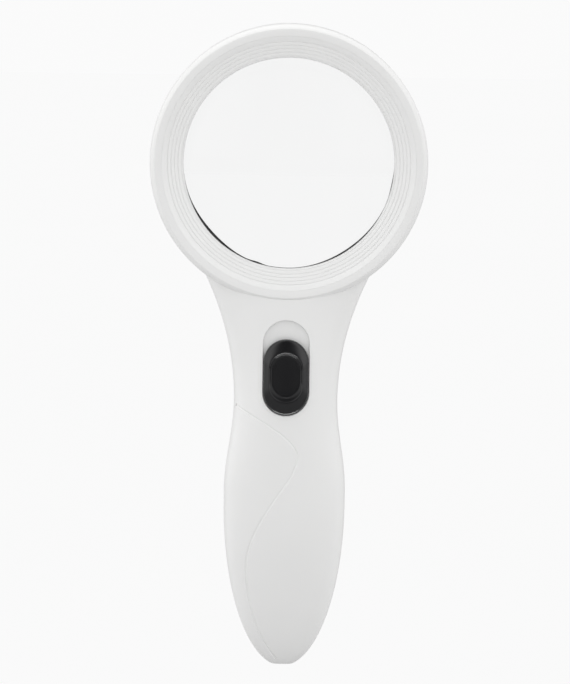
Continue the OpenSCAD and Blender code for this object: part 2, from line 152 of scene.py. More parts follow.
def crown(x, w):
    return max(0, 1 - (abs(x) / w) ** section_power) ** (1 / section_power)


def face_at(side, x, z):
    """Distance of the handle's face from the parting plane."""
    deep = front_depth(z) if side < 0 else back_depth(z)
    return seam_round + (deep - seam_round) * crown(x, half_width(z))


def on_head(r, angle):
    return r * math.cos(angle), lens_z + r * math.sin(angle)


# ---- Meshes ----
def loft(loops, closed=False):
    """Skin over loops that all have the same number of places. A closed loft runs round to its start."""
    count = len(loops[0])
    places = [p for loop in loops for p in loop]
    faces = []
    for j in range(len(loops) if closed else len(loops) - 1):
        a, b = j * count, (j + 1) % len(loops) * count
        for i in range(count):
            n = (i + 1) % count
            faces.append((a + i, a + n, b + n, b + i))
    if not closed:
        for first, loop in ((0, loops[0]), ((len(loops) - 1) * count, loops[-1])):
            middle = len(places)
            places.append(tuple(sum(p[i] for p in loop) / count for i in range(3)))
            faces += [(first + i, first + (i + 1) % count, middle) for i in range(count)]
    return places, faces


def solid(name, *skins):
    """One object from one or more closed skins that don't touch each other."""
    places, faces = [], []
    for skin_places, skin_faces in skins:
        start = len(places)
        places += skin_places
        faces += [tuple(start + i for i in face) for face in skin_faces]
    mesh = bpy.data.meshes.new(name)
    mesh.from_pydata(places, [], faces)
    tidy = bmesh.new()
    tidy.from_mesh(mesh)
    bmesh.ops.recalc_face_normals(tidy, faces=tidy.faces)
    tidy.to_mesh(mesh)
    tidy.free()
    piece = bpy.data.objects.new(name, mesh)
    bpy.context.scene.collection.objects.link(piece)
    return piece


def combine(operation, piece, tool):
    """Joins, cuts or intersects piece with tool, which is used up."""
    step = piece.modifiers.new("step", "BOOLEAN")
    step.operation = operation
    step.solver = "MANIFOLD"
    step.object = tool
    graph = bpy.context.evaluated_depsgraph_get()
    made = bpy.data.meshes.new_from_object(piece.evaluated_get(graph))
    piece.modifiers.clear()
    used = piece.data
    piece.data = made
    bpy.data.meshes.remove(used)
    bpy.data.meshes.remove(tool.data)
    return piece


def join(piece, tool):
    return combine("UNION", piece, tool)


def cut(piece, tool):
    return combine("DIFFERENCE", piece, tool)


def common(piece, tool):
    return combine("INTERSECT", piece, tool)


def put(piece, body, slot, stands_for, sharp=28):
    """Turns a finished piece into metres, shades it, paints it and hangs it on its body."""
    piece.data.transform(((MM, 0, 0, 0), (0, MM, 0, 0), (0, 0, MM, 0), (0, 0, 0, 1)))
    piece.data.shade_smooth()
    piece.data.set_sharp_from_angle(angle=math.radians(sharp))
    piece.data.materials.clear()
    piece.data.materials.append(finishes[slot])
    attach(piece, body)
    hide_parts(*stands_for)
    return piece


def rounded(profile, count=5):
    """Outline of (r, f, rounding) corners, each turned into an arc of that size."""
    outline = []
    for i, (r, f, size) in enumerate(profile):
        here = Vector((r, f))
        before = Vector(profile[i - 1][:2]) - here
        after = Vector(profile[(i + 1) % len(profile)][:2]) - here
        if size == 0:
            outline.append((r, f))
            continue
        half = before.angle(after) / 2
        run = min(size / math.tan(half), before.length * 0.48, after.length * 0.48)
        size = run * math.tan(half)
        middle = here + (before.normalized() + after.normalized()).normalized() * size / math.sin(half)
        start = here + before.normalized() * run - middle
        end = here + after.normalized() * run - middle
        turn = start.angle_signed(end)
        for k in range(count + 1):
            angle = -turn * k / count
            c, s = math.cos(angle), math.sin(angle)
            outline.append((middle.x + start.x * c - start.y * s, middle.y + start.x * s + start.y * c))
    return outline


def turned(outline, segments=256):
    """Skin of a ring round the lens axis; outline holds its section as closed (r, f) places."""
    angles = [2 * math.pi * k / segments for k in range(segments)]
    return loft(
        [[(r * math.cos(a), -f, lens_z + r * math.sin(a)) for a in angles] for r, f in outline],
        closed=True,
    )


def spun(outline, at, along=(0, 1, 0), segments=32):
    """Skin of a turned pin: outline holds (radius, distance along), its ends are closed flat."""
    along = Vector(along)
    across = Vector((1, 0, 0)) if abs(along.x) < 0.5 else Vector((0, 0, 1))
    third = along.cross(across)
    loops = []
    for r, run in outline:
        angles = [2 * math.pi * k / segments for k in range(segments)]
        ring = [Vector(at) + along * run + across * r * math.cos(a) + third * r * math.sin(a) for a in angles]
        loops.append([tuple(p) for p in ring])
    return loft(loops)


def peg(place, r, y0, y1):
    """Skin of a plain pin along y at an (x, z) place."""
    return spun([(r, y0), (r, y1)], (place[0], 0, place[1]))


def block(low, high):
    """Skin of a box between two corners."""
    loops = []
    for z in (low[2], high[2]):
        loops.append([(low[0], low[1], z), (high[0], low[1], z), (high[0], high[1], z), (low[0], high[1], z)])
    return loft(loops)


def swept(path, radius, side=Vector((1, 0, 0)), count=12):
    """Skin of a round bar along a path. radius is a number, or a function of the share of the way along."""
    places = [Vector(p) for p in path]
    loops = []
    for k, place in enumerate(places):
        heading = (places[min(k + 1, len(places) - 1)] - places[max(k - 1, 0)]).normalized()
        across = heading.cross(side).normalized()
        third = heading.cross(across)
        r = radius(k / (len(places) - 1)) if callable(radius) else radius
        angles = [2 * math.pi * i / count for i in range(count)]
        loops.append([tuple(place + across * r * math.cos(a) + third * r * math.sin(a)) for a in angles])
    return loft(loops)


# ---- Handle shells ----
def half_section(side, z, inset, lip, shrink):
    """Outline of one half of the handle at height z, from its right edge round to its left."""
    edge = seam_round if inset == 0 else 0
    w = half_width(z) - inset - shrink
    lead_in, lead_in_len = 0, 10
    if side < 0 and inset > 0:
        lead_in = ease(0, 1, (z - lead_in_z) / lead_in_len)
    deep = (front_depth(z) if side < 0 else back_depth(z)) - inset - shrink - lead_in
    right = [(w, -lip)] if lip else []
    if edge:
        turn = steps(0, math.pi / 2, 4)
        right += [(w - edge + edge * math.sin(a), edge - edge * math.cos(a)) for a in turn]
    else:
        right += [(w, 0)]
    over = []
    for k in range(1, column_count):
        a = math.pi * k / column_count
        x = w * abs(math.cos(a)) ** (2 / section_power) * (1 if a < math.pi / 2 else -1)
        over.append((x, edge + (deep - edge) * math.sin(a) ** (2 / section_power)))
    left = [(-x, f) for x, f in reversed(right)]
    return [(x, side * f, z) for x, f in right + over + left]


def handle_heights(foot, top):
    """Heights of the handle's sections, closer together towards the tip."""
    heights = []
    up = foot
    if foot < 0:
        end = math.asin(-foot / tip_half)
        heights = [-tip_half * math.sin(end * k / 44) for k in range(44, 0, -1)]
        up = 0
    return heights + steps(up, top, math.ceil((top - up) / 1.4))


def half_handle(side, foot, top, inset=0, lip=0):
    """Skin of one half of the handle; side is -1 for the front half and 1 for the back."""
    loops = []
    heights = handle_heights(foot, top)
    if inset == 0 and foot < 0:
        tip_round = 0.5
        for a in steps(0, math.pi / 2, 4):
            z = foot + tip_round * (1 - math.cos(a))
            loops.append(half_section(side, z, 0, 0, tip_round * (1 - math.sin(a))))
        heights = [z for z in heights if z > foot + tip_round + 0.05]
    loops += [half_section(side, z, inset, lip, 0) for z in heights]
    return loft(loops)


def neck_hole():
    return solid("neck_hole", spun([(join_r, -20), (join_r, 20)], (0, 0, lens_z), segments=256))


def lead_way(side, f0, f1):
    """The gap in the head's wall that the leads pass through."""
    way = solid("lead_way", half_handle(side, 60, cavity_top, wall, 1))
    ring = [(rim_in - 1, f0), (head_r + 1, f0), (head_r + 1, f1), (rim_in - 1, f1)]
    return common(way, solid("ring", turned(ring)))


def stadium(width, foot, top):
    """Outline of a bar with round ends, as (x, z) places."""
    turn, side = 20, 14
    r = width / 2
    low, high = foot + r, top - r
    right = [(r, z) for z in steps(low, high, side)[:-1]]
    over = [(r * math.cos(a), high + r * math.sin(a)) for a in steps(0, math.pi, turn)[:-1]]
    left = [(-r, z) for z in steps(high, low, side)[:-1]]
    under = [(r * math.cos(a), low + r * math.sin(a)) for a in steps(math.pi, 2 * math.pi, turn)[:-1]]
    return right + over + left + under


def track_cutter():
    """The sunken track of the thumb slide. Its lip rolls over onto the face of the handle."""
    width, corner, lip = slide_w + 2 * well_gap, 0.3, 0.35
    loops = []
    for a in steps(0, math.pi / 2, 3):
        inset = corner * (1 - math.sin(a))
        y = -well_f - corner * (1 - math.cos(a))
        loops.append([(x, y, z) for x, z in stadium(width - 2 * inset, well_foot + inset, well_top - inset)])
    for a in steps(0, math.radians(76), 5):
        out = lip * (1 - math.cos(a))
        outline = stadium(width + 2 * out, well_foot - out, well_top + out)
        loops.append([(x, -face_at(-1, x, z) + lip * (1 - math.sin(a)), z) for x, z in outline])
    loops.append([(x, -20, z) for x, _, z in loops[-1]])
    return solid("track", loft(loops))


# Moulded line that sweeps across the front of the grip, as cubic curves of (x, z) places.
sweep_curves = [
    [(-17.3, 34.4), (-9, 29.7), (4.4, 23.3), (4.2, 17.4)],
    [(4.2, 17.4), (4.2, 12.7), (0.9, 8.4), (-1.7, 4.8)],
    [(-1.7, 4.8), (-5.8, -1.1), (-13, -11.5), (-13, -20.7)],
    [(-13, -20.7), (-13, -32.1), (-9.5, -45.8), (-2, -54.3)],
]


def sweep_cutter():
    """A thin bar that lies along the face of the grip and leaves the moulded line."""
    bar_r, depth = 0.6, 0.17
    flat = [cubic(c, k / 40) for c in sweep_curves for k in range(40)] + [sweep_curves[-1][-1]]
    path = [(x, -face_at(-1, x, z) - bar_r + depth, z) for x, z in flat]
    return solid("sweep", swept(path, bar_r, side=Vector((0, 1, 0)), count=16))


def front_ring():
    """The rim rolls over from the outside and stops at a crease, where the flat crest starts."""
    roll, crease = 3.3, math.radians(61)
    roll_f = head_front - roll * math.sin(crease)
    edge = [(head_r - roll + roll * math.cos(a), roll_f + roll * math.sin(a)) for a in steps(0, crease, 12)]
    outline = rounded([(rim_in, 0, 0), (head_r, 0, seam_round), (head_r, roll_f, 0)], 8)[:-1] + edge
    outline += rounded([(edge[-1][0], head_front, 0), (seat_r, head_front, 0.04), (seat_r, seat_f, 0)], 3)[1:]
    outline += [(flange_r, seat_f), (flange_r, flange_f), (rim_in, flange_f)]
    return solid("front_ring", turned(outline))


def front_shell():
    shell = cut(solid("front_casing", half_handle(-1, -grip_drop, loft_top)), neck_hole())
    hollow = solid("hollow", half_handle(-1, cavity_foot, cavity_top, wall, 1))
    rim = well_gap + well_wall
    outline = stadium(slide_w + 2 * rim, well_foot - well_wall, well_top + well_wall)
    walls = loft([[(x, y, z) for x, z in outline] for y in (-20, -well_f + well_skin)])
    shell = cut(shell, cut(hollow, solid("walls", walls)))
    shell = join(shell, cut(front_ring(), lead_way(-1, -1, flange_f)))
    posts = [peg(on_head(post_r, math.radians(a)), 1, -flange_f - 0.5, board_y) for a in (0, 90, 180)]
    posts += [peg(p, 2.2, -well_f + 0.5, 1) for p in board_screw_at]
    posts += [peg(p, 2.8, -6.2, 3) for p in shell_screw_at]
    posts += [peg(tray_screw_at, 2.6, -7.4, -2)]
    shell = join(shell, solid("posts", *posts))
    shell = cut(shell, track_cutter())
    reach = stem_len / 2 + well_gap
    half = stem_w / 2 + well_gap
    slot = block((-half, -9, stem_z - reach), (half, -3, stem_z + reach + slide_travel))
    holes = [peg(p, 1.03, -4.5, 4) for p in shell_screw_at] + [peg(tray_screw_at, 0.83, -6.2, -1)]
    holes += [peg(p, 0.83, -4.6, 2) for p in board_screw_at]
    shell = cut(shell, solid("holes", slot, *holes))
    shell = cut(shell, sweep_cutter())
    return put(shell, "housing", "shell_white", ["front_shell"])


def back_ring():
    ring = [
        (rim_in, 0, 0), (rim_in, -floor_y, 0), (barrel_out, -floor_y, 0), (barrel_out, barrel_front, 0.2),
        (barrel_in, barrel_front, 0.2), (barrel_in, -stop_y, 0), (stop_r, -stop_y, 0.2), (stop_r, -4, 0.6),
        (window_r0 - 1.3, -9.4, 0.3), (window_r0, -9.4, 0.15), (window_r0, -window_y, 0),
        (window_r1, -window_y, 0), (window_r1, -head_back, 0.3), (head_r, -head_back, rear_round),
        (head_r, 0, seam_round),
    ]
    return solid("back_ring", turned(rounded(ring, 8)))


def led_angles():
    return [math.radians((k + 0.5) * 360 / led_count) for k in range(led_count)]


def back_shell():
    shell = cut(solid("back_casing", half_handle(1, door_top, loft_top)), neck_hole())
    shell = cut(shell, solid("hollow", half_handle(1, door_top - 1, cavity_top, wall, 1)))
    shell = join(shell, cut(back_ring(), lead_way(1, -floor_y, 1)))
    shelf_z, shelf_y = door_top + 3.6, 3.6
    shelf = block((-10, shelf_y, shelf_z), (10, back_depth(shelf_z) - wall + 0.4, shelf_z + 1.2))
    posts = [peg(on_head(post_r, math.radians(a)), 1, board_y + board_t, floor_y + 0.5) for a in (0, 90, 180)]
    posts += [peg(p, 3.4, 3.05, 6.6) for p in shell_screw_at]
    shell = join(shell, solid("inside", shelf, *posts))
    holes = [peg(on_head(led_r, a), 1.9, floor_y - 1, window_y + 1) for a in led_angles()]
    holes += [spun([(1.15, 2), (1.15, 5.4), (2.4, 5.4), (2.4, 12)], (p[0], 0, p[1])) for p in shell_screw_at]
    shell = cut(shell, solid("holes", *holes))
    return put(shell, "housing", "shell_white", ["back_shell"])


def grip_rib(z):
    """One raised bar across the battery door, tapered into it at both ends."""
    half, r = 7.5, 0.8
    path = [(x, face_at(1, x, z) - 0.55, z) for x in steps(-half, half, 40)]
    return swept(path, lambda u: r * max(0.05, 1 - abs(2 * u - 1) ** 10) ** 0.5, Vector((0, 0, 1)), 16)


def battery_door():
    gap = 0.15
    door = solid("battery_cover", half_handle(1, -grip_drop, door_top - gap))
    door = cut(door, solid("hollow", half_handle(1, cavity_foot, door_top + 1, wall, 1)))
    door = cut(door, solid("plane", block((-30, -1, -60), (30, gap, 40))))
    tongue_y = back_depth(door_top) - wall - 0.6
    tongue = block((-7, tongue_y - 1.1, door_top - 6), (7, tongue_y, door_top + 3))
    root = block((-7, tongue_y - 0.5, door_top - 6), (7, tongue_y + 1, door_top - 1))
    door = join(door, join(solid("tongue", tongue), solid("root", root)))
    door = join(door, solid("ribs", *[grip_rib(6 + 3 * k) for k in range(5)]))
    rests = [block((s * 5.3 - 0.6, 5.8, -20), (s * 5.3 + 0.6, 7.2, 22)) for s in (-1, 1)]
    door = join(door, solid("rests", *rests))
    return put(door, "door", "shell_white", ["battery_door"])


# ---- Lens and rings ----
def front_bezel():
    """The ring in front of the lens, with five fine steps that run down towards the glass."""
    rim, step_count, pitch, drop, slot = seat_r - 0.015, 5, 1.2, 0.36, 0.24
    first_r, first_f, back_f = 41.6, 7.6, 3.4
    outline = [(rim, seat_f + 0.05, 0), (rim, head_front - 0.04, 0.03)]
    for k in range(step_count):
        r, f = first_r - pitch * k, first_f - drop * k
        outline += [
            (r, f, 0.05), (r - 0.06, f - slot, 0.03), (r - 0.26, f - slot, 0.03), (r - 0.32, f - 0.1, 0.05),
        ]
    inner_f = first_f - step_count * drop
    outline += [
        (view_r + 0.2, inner_f, 0.1), (view_r, inner_f - 0.2, 0.1), (view_r, back_f, 0),
        (lens_r - 0.1, back_f, 0), (lens_r - 0.1, flange_f, 0),
        (flange_r - 0.4, flange_f, 0), (flange_r - 0.4, seat_f + 0.05, 0),
    ]
    ring = solid("bezel_ring", turned(rounded(outline, 3), 360))
    return put(ring, "housing", "bezel_white", ["front_bezel"])


def lens():
    """Both faces bulge by the same curve, and the edge is a plain short cylinder."""
    curve = 147
    sag = curve - math.sqrt(curve**2 - lens_r**2)
    edge = lens_half - sag
    radii = [lens_r * math.sin(math.pi / 2 * k / 32) for k in range(1, 33)]
    half = [(r, lens_half - (curve - math.sqrt(curve**2 - r * r))) for r in radii]
    half[-1] = (lens_r - 0.15, edge + 0.04)
    half += [(lens_r - 0.05, edge - 0.03), (lens_r, edge - 0.15)]
    outline = [(r, -run) for r, run in half] + [(r, run) for r, run in reversed(half)]
    glass = solid("magnifying_lens", spun(outline, (0, lens_y, lens_z), segments=192))
    return put(glass, "housing", "lens_clear", ["lens"], sharp=40)


def painted_shade_bulge(angle):
    """How far the black seal reaches in past its ring, as painted shade at the lower edge of the lens: most
    at the lower left, some at the lower right.
    """
    turn = math.degrees(angle) % 360
    # Where round the opening, in degrees, how widely and how far the dark seal reaches in to paint the shade.
    spots = [(223, 21, 0.85), (253, 4, 0.4), (305, 23, 0.52), (349, 7, 0.25)]
    return sum(size * math.exp(-(((turn - at) / width) ** 2)) for at, width, size in spots)


def lens_gasket():
    """A pressed bead of black rubber between the lens and the ring in front of it. Round its lower half its
    inner edge reaches further in, as painted shade at the lower edge of the lens.
    """
    inner, outer, back_f, front_f, segments = 36.08, 37.4, 0.45, 3.4, 360
    section = [(inner, back_f, 0), (outer, 0.1, 0.15), (outer, front_f, 0.15), (inner, front_f, 0.3)]
    section = rounded(section, 4)
    section += [(inner, 2.4), (inner, 1.6), (inner, 1.0)]
    angles = [2 * math.pi * k / segments for k in range(segments)]
    loops = []
    for r, f in section:
        full = math.sin(math.pi * min(max((f - back_f) / 2.6, 0), 1)) if r < inner + 0.1 else 0
        # The seal's inner edge reaches in by the bulges that paint the shade.
        reach = [r - full * painted_shade_bulge(a) for a in angles]
        loops.append([(q * math.cos(a), -f, lens_z + q * math.sin(a)) for q, a in zip(reach, angles)])
    return put(solid("lens_seal", loft(loops, closed=True)), "housing", "gasket_black", ["lens_gasket"])


def light_window():
    low, high = extent("light_window")
    outer = (high[0] - low[0]) / 2
    inner = window_r0 + 0.05
    outline = [
        (inner, -low[1], 0.1), (outer, -low[1], 0.1), (outer, -high[1], 0.35), (inner, -high[1], 0.35),
    ]
    ring = solid("light_cover", turned(rounded(outline, 5)))
    return put(ring, "housing", "window_frosted", ["light_window"])


# ---- Thumb slide ----
def slide_face(x, z):
    """Distance in front of the parting plane of the slide's face, which follows the handle."""
    share = (z - slide_foot) / (slide_top - slide_foot)
    low, high = front_depth(slide_foot), front_depth(slide_top)
    return low + (high - low) * share + slide_proud - 0.35 * (2 * x / slide_w) ** 2


def slide_loop(outline, depth):
    return [(x, -slide_face(x, z) + depth, z) for x, z in outline]


def set_in(width, foot, top, inset):
    """Outline of a round-ended bar, taken in all round."""
    return stadium(width - 2 * inset, foot + inset, top - inset)


def slide_skin():
    """A rolled edge, a shoulder that falls away to it, a fine ledge, and the flat floor of the thumb rest."""
    edge, fall = 0.9, 0.3
    body = (slide_w, slide_foot, slide_top)
    rest = (dish_w, dish_foot, dish_top)
    floor = (dish_w - 0.8, dish_foot + 1.3, dish_top - 0.4)
    loops = [[(x, -well_f - 0.1, z) for x, z in set_in(*body, 0)]]
    for a in steps(0, math.radians(74), 8):
        loops.append(slide_loop(set_in(*body, edge * (1 - math.cos(a))), fall + edge * (1 - math.sin(a))))
    shoulder, lip = set_in(*body, edge), set_in(*rest, 0)
    for u in steps(0.12, 1, 7):
        loops.append(slide_loop(between(shoulder, lip, u), fall * (1 - u) ** 1.5))
    for inset, depth in ((0.06, 0.03), (0.14, 0.12), (0.22, 0.16), (0.34, 0.17)):
        loops.append(slide_loop(set_in(*rest, inset), depth))
    for u in (0.5, 1):
        loops.append(slide_loop(between(set_in(*rest, 0.34), set_in(*floor, 0), u), 0.17 + 0.05 * u))
    drop = ((0.06, 0.26), (0.2, 0.6), (0.28, 0.74), (0.36, 0.8), (0.5, 0.83), (1.2, 0.845), (4, 0.85))
    for inset, depth in drop:
        loops.append(slide_loop(set_in(*floor, inset), depth))
    return loft(loops)


def between(one, two, share):
    return [(p[0] + (q[0] - p[0]) * share, p[1] + (q[1] - p[1]) * share) for p, q in zip(one, two)]


def thumb_slide():
    """A bar with round ends and a dished thumb rest, on a stem that reaches in through the shell."""
    slide = solid("slide", slide_skin())
    half = stem_w / 2
    stem = block((-half, -well_f - 0.2, stem_z - stem_len / 2), (half, keeper_y, stem_z + stem_len / 2))
    return put(join(slide, solid("stem", stem)), "slider", "slide_black", ["thumb_slide"], sharp=35)


# ---- Battery bay ----
def cell(node, way):
    """A cell with rolled ends, a sleeve with a band, and a steel button that points up when way is 1."""
    low, high = extent(node)
    r, length = (high[0] - low[0]) / 2, high[2] - low[2]
    shoulder, band = length - 1.2, 9.5
    foot_z = low[2] if way > 0 else high[2]
    x = (high[0] + low[0]) / 2
    outline = [
        (3.0, 0.25), (3.3, 0), (4.4, 0), (4.85, 0.12), (r - 0.1, 0.45), (r, 0.8), (r, shoulder - band - 0.1),
        (r, shoulder - band), (r, shoulder - 1), (r - 0.08, shoulder - 0.55), (r - 0.45, shoulder - 0.12),
        (4.3, shoulder), (4.1, shoulder - 0.25), (2.6, shoulder - 0.25), (2.35, shoulder),
        (2.0, shoulder + 0.1),
        (1.9, shoulder + 0.35), (1.9, length - 0.25), (1.7, length - 0.05), (1.4, length),
    ]
    name = node.replace("cell", "power_cell")
    can = solid(name, spun(outline, (x, 0, foot_z), (0, 0, way), 72))
    put(can, "housing", "cell_jacket", [node], sharp=34)
    can.data.materials.append(finishes["cell_band"])
    can.data.materials.append(finishes["contact_steel"])
    for face in can.data.polygons:
        run = abs(face.center.z / MM - foot_z)
        out = math.hypot(face.center.x / MM - x, face.center.y / MM)
        if out < r - 0.3 or run < 0.3:
            face.material_index = 2
        elif run > shoulder - band:
            face.material_index = 1


def contact_springs():
    """Tapered coils of round wire between the plates and the flat ends of the cells."""
    low, high = extent("contact_springs")
    wire, turns, per_turn, height = 0.35, 4, 36, 5
    pitch = sum(corner[0] for corner in extent("cell_right")) / 2
    coils = []
    for x, z0, way in ((-pitch, low[2], 1), (pitch, low[2], 1), (0, high[2], -1)):
        path = []
        for k in range(turns * per_turn + 1):
            u = k / (turns * per_turn)
            r, a = 3.4 - 1.2 * u, 2 * math.pi * k / per_turn
            rise = wire + (height - 2 * wire) * u
            path.append((x + r * math.cos(a), r * math.sin(a), z0 + way * rise))
        coils.append(swept(path, wire, Vector((0, 0, 1)), 10))
    put(solid("battery_springs", *coils), "housing", "contact_steel", ["contact_springs"], sharp=50)


def wire_path(*places):
    return [cubic(places, u) for u in steps(0, 1, 28)]


def leads():
    """Thin insulated wires from the cells to the switch board, and on up to the diode board."""
    r, near = 0.6, -4.6
    bay_foot, bay_top = extent("contact_springs")[0][2], extent("contact_springs")[1][2]
    front_y, back_y = extent("switch_board")[0][1] - r - 0.02, extent("switch_board")[1][1] + r + 0.02
    board_top = extent("switch_board")[1][2]
    x, plate = 5.3, bay_top + 0.5
    long_lead = [(x, near, bay_foot)] + wire_path((x, near, 24), (x, near, 30), (x, -3, 31), (x, front_y, 35))
    short_lead = [(-8, -2, plate)]
    short_lead += wire_path((-8, -2, plate + 1.5), (-8, -2, 30), (-6.5, -0.5, 30), (-6.5, front_y, 35))
    skins = [swept(path, r, count=16) for path in (long_lead, short_lead)]
    put(solid("battery_wires", *skins), "housing", "lead_red", ["battery_leads"])
    end_y = board_y - r - 0.02
    skins = []
    for x in (-3, 3):
        start = (x, back_y, board_top - 3.9)
        path = wire_path(start, (x, back_y + 0.8, 66), (x, 0.4, 67.5), (x, end_y, 75.5))
        skins.append(swept(path, r, count=16))
    put(solid("light_wires", *skins), "housing", "lead_red", ["led_leads"])


# ---- Screws ----
def cross_recess(place, top_y, reach):
    """Tapered cross that a driver fits, as a skin to cut from a screw head."""
    levels = ((top_y + 0.3, reach, 0.24), (top_y - 0.25, reach * 0.8, 0.2), (top_y - 0.8, 0.34, 0.12))
    loops = []
    for y, long, half in levels:
        corners = [(long, half), (half, half), (half, long)]
        outline = []
        for turn in range(4):
            c, s = round(math.cos(turn * math.pi / 2)), round(math.sin(turn * math.pi / 2))
            outline += [(a * c - b * s, a * s + b * c) for a, b in corners]
        loops.append([(place[0] + a, y, place[1] + b) for a, b in outline])
    return loft(loops)


def screws(name, node, places, head_y, pan_r, pan_h, shank_r, tip_y):
    """Pan-head screws, all alike, driven from the back."""
    top = head_y + pan_h
    outline = [
        (0.2, tip_y), (shank_r, tip_y + 1.2), (shank_r, head_y), (pan_r - 0.12, head_y),
        (pan_r, head_y + 0.12),
    ]
    for out, up in ((1, 0.45), (0.95, 0.68), (0.8, 0.86), (0.55, 0.96)):
        outline.append((pan_r * out, head_y + pan_h * up))
    outline.append((0.2, top))
    heads = solid(name, *[spun(outline, (p[0], 0, p[1]), segments=48) for p in places])
    heads = cut(heads, solid("crosses", *[cross_recess(p, top, pan_r * 0.62) for p in places]))
    put(heads, "housing", "screw_steel", [node])


# ---- Finishes ----
def add(tree, kind, **settings):
    node = tree.nodes.new("ShaderNode" + kind)
    for name, value in settings.items():
        setattr(node, name, value)
    return node


def new_group(name, inputs, outputs):
    """A node group with number inputs (name and usual value) and number outputs."""
    group = bpy.data.node_groups.new(name, "ShaderNodeTree")
    for label, value in inputs:
        group.interface.new_socket(label, in_out="INPUT", socket_type="NodeSocketFloat").default_value = value
    for label in outputs:
        group.interface.new_socket(label, in_out="OUTPUT", socket_type="NodeSocketFloat")
    return group, group.nodes.new("NodeGroupInput"), group.nodes.new("NodeGroupOutput")


def moulded_grain():
    """Fine even texture of a spark-eroded mould, and a slow mottle of the resin."""
    group, given, out = new_group("moulded_grain", [("Fineness", 4000)], ["Height", "Mottle"])
    place = add(group, "TexCoord")
    fine = add(group, "TexNoise")
    fine.inputs["Detail"].default_value = 2
    slow = add(group, "TexNoise")
    slow.inputs["Detail"].default_value = 3
    slower = add(group, "Math", operation="MULTIPLY")
    slower.inputs[1].default_value = 0.012
    group.links.new(given.outputs["Fineness"], fine.inputs["Scale"])
    group.links.new(given.outputs["Fineness"], slower.inputs[0])
    group.links.new(slower.outputs[0], slow.inputs["Scale"])
    for noise in (fine, slow):
        group.links.new(place.outputs["Object"], noise.inputs["Vector"])
    group.links.new(fine.outputs["Fac"], out.inputs["Height"])
    group.links.new(slow.outputs["Fac"], out.inputs["Mottle"])
    return group


def handling():
    """Faint smears and fine hairlines left by fingers and cloths, as a mask from 0 to 1."""
    group, given, out = new_group("handling", [("Size", 60)], ["Smear", "Hairline"])
    place = add(group, "TexCoord")
    stretch = add(group, "Mapping")
    stretch.inputs["Scale"].default_value = (1, 1, 0.35)
    stretch.inputs["Rotation"].default_value = (0, math.radians(24), 0)
    smear = add(group, "TexNoise")
    smear.inputs["Detail"].default_value = 4
    smear.inputs["Distortion"].default_value = 0.8
    patches = add(group, "MapRange", clamp=True)
    patches.inputs["From Min"].default_value = 0.42
    patches.inputs["From Max"].default_value = 0.72
    lines = add(group, "Mapping")
    lines.inputs["Scale"].default_value = (900, 900, 26)
    lines.inputs["Rotation"].default_value = (0, math.radians(-31), 0)
    hair = add(group, "TexNoise")
    hair.inputs["Scale"].default_value = 1
    narrow = add(group, "MapRange", clamp=True)
    narrow.inputs["From Min"].default_value = 0.70
    narrow.inputs["From Max"].default_value = 0.80
    group.links.new(place.outputs["Object"], stretch.inputs["Vector"])
    group.links.new(place.outputs["Object"], lines.inputs["Vector"])
    group.links.new(stretch.outputs["Vector"], smear.inputs["Vector"])
    group.links.new(given.outputs["Size"], smear.inputs["Scale"])
    group.links.new(lines.outputs["Vector"], hair.inputs["Vector"])
    group.links.new(smear.outputs["Fac"], patches.inputs["Value"])
    group.links.new(hair.outputs["Fac"], narrow.inputs["Value"])
    group.links.new(patches.outputs["Result"], out.inputs["Smear"])
    group.links.new(narrow.outputs["Result"], out.inputs["Hairline"])
    return group


def drawn_metal():
    """Long fine lines along z that rolling or drawing leaves in metal."""
    group, given, out = new_group("drawn_metal", [("Fineness", 3000)], ["Height", "Streak"])
    place = add(group, "TexCoord")
    stretch = add(group, "Mapping")
    stretch.inputs["Scale"].default_value = (1, 1, 0.04)
    lines = add(group, "TexNoise")
    lines.inputs["Detail"].default_value = 3
    group.links.new(place.outputs["Object"], stretch.inputs["Vector"])
    group.links.new(stretch.outputs["Vector"], lines.inputs["Vector"])
    group.links.new(given.outputs["Fineness"], lines.inputs["Scale"])
    group.links.new(lines.outputs["Fac"], out.inputs["Height"])
    group.links.new(lines.outputs["Fac"], out.inputs["Streak"])
    return group


def placed(tree, name, **values):
    """One of the shared groups, placed in a material with its own values."""
    node = add(tree, "Group", node_tree=effects[name])
    for label, value in values.items():
        node.inputs[label].default_value = value
    return node


def blank_finish(name):
    """A material with only a Principled shader; returns the material, its tree and the shader."""
    finish = bpy.data.materials.new(name)
    finish.use_nodes = True
    return finish, finish.node_tree, finish.node_tree.nodes["Principled BSDF"]


def colour_between(tree, shader, mask, one, two):
    mix = add(tree, "Mix", data_type="RGBA")
    mix.inputs["A"].default_value = (*one, 1)
    mix.inputs["B"].default_value = (*two, 1)
    tree.links.new(mask, mix.inputs["Factor"])
    tree.links.new(mix.outputs["Result"], shader.inputs["Base Color"])


def rough_between(tree, shader, mask, low, high):
    span = add(tree, "MapRange")
    span.inputs["To Min"].default_value = low
    span.inputs["To Max"].default_value = high
    tree.links.new(mask, span.inputs["Value"])
    tree.links.new(span.outputs["Result"], shader.inputs["Roughness"])


def raised(tree, shader, height, distance):
    bump = add(tree, "Bump")
    bump.inputs["Distance"].default_value = distance * MM
    bump.inputs["Strength"].default_value = 1
    tree.links.new(height, bump.inputs["Height"])
    tree.links.new(bump.outputs["Normal"], shader.inputs["Normal"])


def moulded_plastic(name, one, two, rough, fineness=4000, depth=0.004):
    """Injection-moulded plastic: a slow mottle in colour, smears in its gloss, and a fine grain."""
    finish, tree, shader = blank_finish(name)
    grain = placed(tree, "moulded_grain", Fineness=fineness)
    marks = placed(tree, "handling", Size=70)
    colour_between(tree, shader, grain.outputs["Mottle"], one, two)
    rough_between(tree, shader, marks.outputs["Smear"], *rough)
    raised(tree, shader, grain.outputs["Height"], depth)
    return finish


